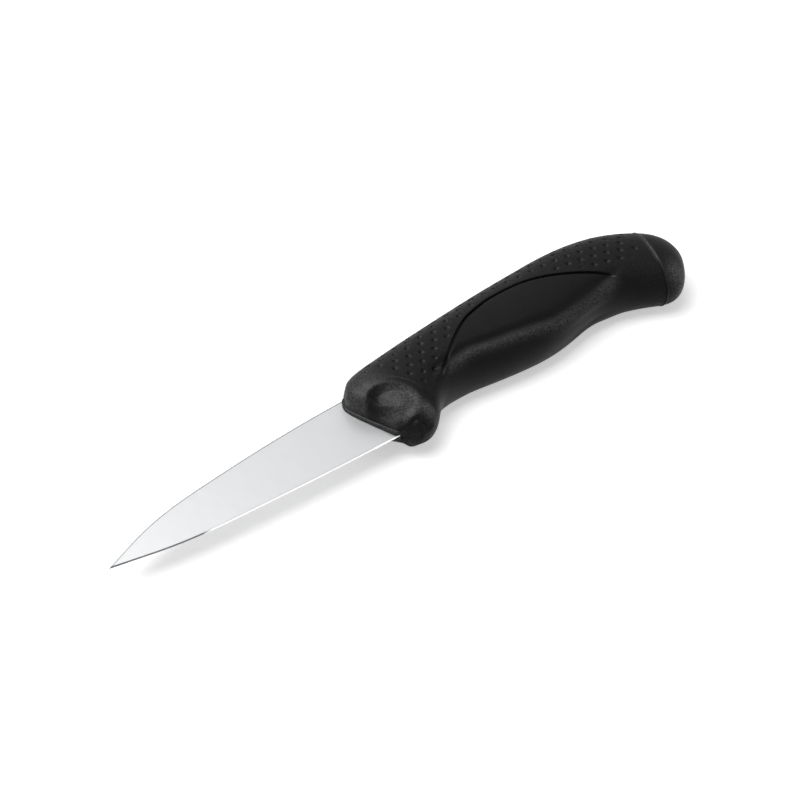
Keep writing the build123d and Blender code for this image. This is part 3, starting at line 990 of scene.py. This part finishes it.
class KNIFE_OT_sleeve(bpy.types.Operator):
    """Moulds the soft sleeve over the core and presses its pits"""

    bl_idname = "knife.sleeve"
    bl_label = "Sleeve"

    # The sleeve's rounded edges, and its wall that goes down past the groove's floor
    EDGE, WALL = mm(0.22, 0.06)
    WALL_DEPTH_SHARE = 1.4
    # How the rows of pits climb along the handle and bend back, and how a row leans
    ROW_CLIMB, ROW_BEND, ROW_LEAN = 0.43, 0.0022 / MM, 0.05
    # What stays clear of pits: beside the groove and the seam, below the lowest row, in an
    # oval round the thumb scoop, and at the nose
    GROOVE_CLEAR, SEAM_CLEAR = mm(0.9, 1.5), mm(3.0, 3.8)
    LOWEST_ROW, LOWEST_CLIMB, ROW_FADE = mm(14, -3.6), 0.05, mm(-0.3, 0.3)
    OVAL_MIDDLE, OVAL_HALF, OVAL_FADE = mm(2.6, -3.6), mm(8.6, 12), (1.0, 1.06)
    NOSE_CLEAR = mm(4, 6)
    FRONT_DEPTH = 3 * MM

    def execute(self, context):
        sizes = context.scene.handle_sizes
        skin, patch = skin_patch(sizes)
        material = soft_elastomer(context.scene.finish_colours.sleeve)
        width, edge, wall = sizes.groove_width, self.EDGE, self.WALL
        body = patch.keep(panel=(-FAR, -0.5 * width), beyond=(-FAR, SPARE))
        for share in (1, 0.5, 0.2, 0):
            body.cut("panel", -width - edge * share)
        body.cut("panel", -width + wall)
        for share in (1, 0.5, 0.15, 0):
            body.cut("beyond", -edge * share)
        body = body.keep(panel=(-FAR, -width + wall), beyond=(-FAR, 0))
        panel, shape = body["panel"], relief(sizes, body)
        top_drop = shape + round_over(-panel - width, edge) * groove_open(body)
        wall_drop = shape + sizes.groove_depth * self.WALL_DEPTH_SHARE
        drop = np.where(panel > -width + wall / 2, wall_drop, top_drop)
        drop += round_over(-body["beyond"], edge)
        sleeve = make_object("sleeve", placed(body, drop), body.faces)
        x, girth = body["place"][:, 0], np.abs(body["girth"])
        store(sleeve, "along", x + self.ROW_LEAN * girth)
        store(sleeve, "girth", girth - (self.ROW_CLIMB * x - self.ROW_BEND * x**2))
        store(sleeve, "pitted", self.pitted(sizes, body))
        # Painted highlight share for each point of the sleeve
        store(sleeve, "painted_highlight", paint_highlights(sizes, body))
        store(sleeve, "outward", body["normal"], "FLOAT_VECTOR", "vector")
        press_pits(sleeve, sizes, material)
        self.add_front(skin, sleeve)
        turn_outward(sleeve)
        dress(sleeve, material)
        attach(sleeve, "root")
        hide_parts("grip_sleeve")
        return {"FINISHED"}

    def pitted(self, sizes, body):
        """1 where the sleeve has pits, 0 where it stays clear of them."""
        x, y, _z = body["place"].T
        low, high = (sizes.groove_width + clear for clear in self.GROOVE_CLEAR)
        share = ease(low, high, -body["panel"])
        share *= ease(*self.SEAM_CLEAR, -body["beyond"])
        lowest = self.LOWEST_ROW[1] + self.LOWEST_CLIMB * (x - self.LOWEST_ROW[0])
        share *= ease(*self.ROW_FADE, y - lowest)
        oval = np.hypot((x - self.OVAL_MIDDLE[0]) / self.OVAL_HALF[0],
                        (y - self.OVAL_MIDDLE[1]) / self.OVAL_HALF[1])
        return share * ease(*self.OVAL_FADE, oval) * ease(*self.NOSE_CLEAR, x)

    def add_front(self, skin, sleeve):
        """Front strips above and below the collar's slot, and the slot's own walls."""
        rim = skin.points[0]
        count = len(rim)
        first, last = skin.slot()

        def mirrored(index):
            return -index % count

        faces = []
        for index in range(count // 2):
            if index < first or index >= last:
                corners = [index, index + 1, mirrored(index + 1), mirrored(index)]
                faces.append(list(dict.fromkeys(corners)))
        edge = list(range(first, last + 1)) + [mirrored(i) for i in range(last, first - 1, -1)]
        for start, end in zip(edge, edge[1:] + edge[:1]):
            faces.append([start, end, end + count, start + count])
        deep = rim + np.array((self.FRONT_DEPTH, 0, 0))
        points = np.concatenate([rim, deep]) + np.array(JUNCTION)
        front = make_object("front", points, faces)
        context = {"active_object": sleeve, "selected_editable_objects": [sleeve, front]}
        with bpy.context.temp_override(**context):
            bpy.ops.object.join()


class KNIFE_OT_end_cap(bpy.types.Operator):
    """Moulds the end cap behind the slanting seam"""

    bl_idname = "knife.end_cap"
    bl_label = "End Cap"

    # The cap's lip at the seam: its gap, its rounded edge, how proud it stands and its slope
    GAP, EDGE, PROUD = mm(0.02, 0.3, 0.18)
    LIP_END = mm(0.25, 0.8)

    def execute(self, context):
        sizes = context.scene.handle_sizes
        _skin, patch = skin_patch(sizes)
        body = patch.keep(beyond=(-SPARE, FAR))
        for level in (self.GAP, *mm(0.08, 0.2, 0.35, 0.6, 1.0, 1.5)):
            body.cut("beyond", level)
        body = body.keep(beyond=(self.GAP, FAR))
        beyond = body["beyond"]
        lip = self.PROUD * (1 - ease(*self.LIP_END, beyond))
        points = list(placed(body, round_over(beyond - self.GAP, self.EDGE) - lip))
        faces = list(body.faces)
        reach = body["place"][:, 0]
        close_ring(points, faces, np.nonzero(reach > reach.max() - 1e-9)[0])
        cap = make_object("end_cap", points, faces)
        # Painted highlight share for each point of the cap, none at its closing middle
        store(cap, "painted_highlight", np.append(paint_highlights(sizes, body), 0.0))
        turn_outward(cap)
        dress(cap, hard_polypropylene(context.scene.finish_colours.core))
        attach(cap, "root")
        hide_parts("butt_cap")
        return {"FINISHED"}


class KNIFE_OT_stage(bpy.types.Operator):
    """Lays the floor and sets the lamps, the world and the camera"""

    bl_idname = "knife.stage"
    bl_label = "Stage"

    WHITE = (1, 1, 1, 1)
    FLOOR_HALF = 3.0
    # The floor's own light where it is seen, and the world's light on the knife
    FLOOR_GLOW, WORLD_LIGHT = 0.49, 0.25
    # Each lamp's name, place from the blade junction in metres, size, power, and whether it
    # lights surfaces and casts the shadow or is seen in the gloss only
    LAMPS = (
        ("Key softbox", (-0.38, 0.05, 0.90), 0.72, 10.0, True),
        ("Top card", (-0.12, 0.27, 0.95), 0.42, 10.0, False),
        ("Gloss card", (-0.30, 0.55, 0.75), 0.30, 18.0, False),
        ("Low card", (-0.85, 0.25, 0.25), 0.40, 4.4, False),
    )
    # The camera from the blade junction: its place, where it looks, and its lens in mm
    CAMERA_PLACE = Vector((-502.0, -510.0, 673.7)) * MM
    CAMERA_HEADING, CAMERA_DIP = math.radians(44.94), math.radians(42.92)
    CAMERA_ROLL = math.radians(5.12)
    SENSOR, LENS = 36.0, 171.0

    def execute(self, context):
        self.make_floor(context.scene.finish_colours)
        self.make_world()
        self.make_lamps()
        self.make_camera()
        context.scene.view_settings.view_transform = "Standard"
        return {"FINISHED"}

    def white_backdrop(self, tree):
        """1 for the rays that see the backdrop itself: camera, glossy and transmission."""
        rays = add_node(tree, "ShaderNodeLightPath")
        seen = rays.outputs["Is Camera Ray"]
        for name in ("Is Glossy Ray", "Is Transmission Ray"):
            seen = maths(tree, "MAXIMUM", seen, rays.outputs[name])
        return seen

    def lay_backdrop(self, tree, kind, lighting, seen):
        """Surface that lights the scene with one shader and is seen as another."""
        mix = add_node(tree, "ShaderNodeMixShader",
                       inputs={"Fac": self.white_backdrop(tree), 1: lighting, 2: seen})
        add_node(tree, kind, inputs={"Surface": mix.outputs["Shader"]})

    def make_floor(self, colours):
        size = self.FLOOR_HALF
        corners = [(-size, -size, 0), (size, -size, 0), (size, size, 0), (-size, size, 0)]
        floor = make_object("studio_floor", corners, [[0, 1, 2, 3]])
        material = bpy.data.materials.new("White studio sweep")
        tree = bare_tree(material)
        matte = add_node(tree, "ShaderNodeBsdfDiffuse", inputs={"Color": linear(colours.floor)})
        white = add_node(tree, "ShaderNodeEmission",
                         inputs={"Color": self.WHITE, "Strength": self.FLOOR_GLOW})
        both = add_node(tree, "ShaderNodeAddShader",
                        inputs={0: matte.outputs["BSDF"], 1: white.outputs["Emission"]})
        self.lay_backdrop(tree, "ShaderNodeOutputMaterial", matte.outputs["BSDF"],
                          both.outputs["Shader"])
        floor.data.materials.append(material)

    def make_world(self):
        world = bpy.data.worlds.new("Studio")
        bpy.context.scene.world = world
        tree = bare_tree(world)
        dim, white = (add_node(tree, "ShaderNodeBackground",
                               inputs={"Color": self.WHITE, "Strength": strength})
                      for strength in (self.WORLD_LIGHT, 1.0))
        self.lay_backdrop(tree, "ShaderNodeOutputWorld", dim.outputs["Background"],
                          white.outputs["Background"])

    def make_lamps(self):
        for name, place, size, power, lights in self.LAMPS:
            data = bpy.data.lights.new(name, "AREA")
            data.size = size
            data.energy = power
            lamp = add_object(name, data)
            lamp.location = JUNCTION + Vector(place)
            lamp.visible_diffuse, lamp.visible_glossy = lights, not lights
            heading = JUNCTION - lamp.location
            lamp.rotation_euler = heading.to_track_quat("-Z", "Y").to_euler()

    def make_camera(self):
        """A long lens over the edge side of the knife, rolled a little."""
        heading, dip, roll = self.CAMERA_HEADING, self.CAMERA_DIP, self.CAMERA_ROLL
        eye = JUNCTION + self.CAMERA_PLACE
        forward = Vector((math.cos(dip) * math.cos(heading),
                          math.cos(dip) * math.sin(heading), -math.sin(dip)))
        level = forward.cross(Vector((0, 0, 1))).normalized()
        upright = level.cross(forward)
        right = level * math.cos(roll) + upright * math.sin(roll)
        up = right.cross(forward)
        data = bpy.data.cameras.new("Camera")
        data.sensor_width = self.SENSOR
        data.lens = self.LENS
        data.clip_end = 20.0
        camera = add_object("Camera", data)
        turn = Matrix((right, up, -forward)).transposed().to_4x4()
        camera.matrix_world = Matrix.Translation(eye) @ turn
        bpy.context.scene.camera = camera


class KNIFE_PT_panel(bpy.types.Panel):
    """Lists the knife's pieces and sizes"""

    bl_idname = "KNIFE_PT_panel"
    bl_label = "Paring Knife"
    bl_space_type = "VIEW_3D"
    bl_region_type = "UI"
    bl_category = "Knife"

    def draw(self, context):
        column = self.layout.column()
        for operator in OPERATORS:
            column.operator(operator.bl_idname)
        for group in (context.scene.handle_sizes, context.scene.finish_colours):
            for name in group.__annotations__:
                column.prop(group, name)


OPERATORS = (KNIFE_OT_blade, KNIFE_OT_core, KNIFE_OT_sleeve, KNIFE_OT_end_cap, KNIFE_OT_stage)
CLASSES = (HandleSizes, FinishColours, *OPERATORS, KNIFE_PT_panel)


def register():
    for cls in CLASSES:
        bpy.utils.register_class(cls)
    bpy.types.Scene.handle_sizes = bpy.props.PointerProperty(type=HandleSizes)
    bpy.types.Scene.finish_colours = bpy.props.PointerProperty(type=FinishColours)


def unregister():
    del bpy.types.Scene.finish_colours
    del bpy.types.Scene.handle_sizes
    for cls in reversed(CLASSES):
        bpy.utils.unregister_class(cls)


def main():
    register()
    bpy.ops.knife.blade()
    bpy.ops.knife.core()
    bpy.ops.knife.sleeve()
    bpy.ops.knife.end_cap()
    bpy.ops.knife.stage()


if __name__ == "__main__":
    main()
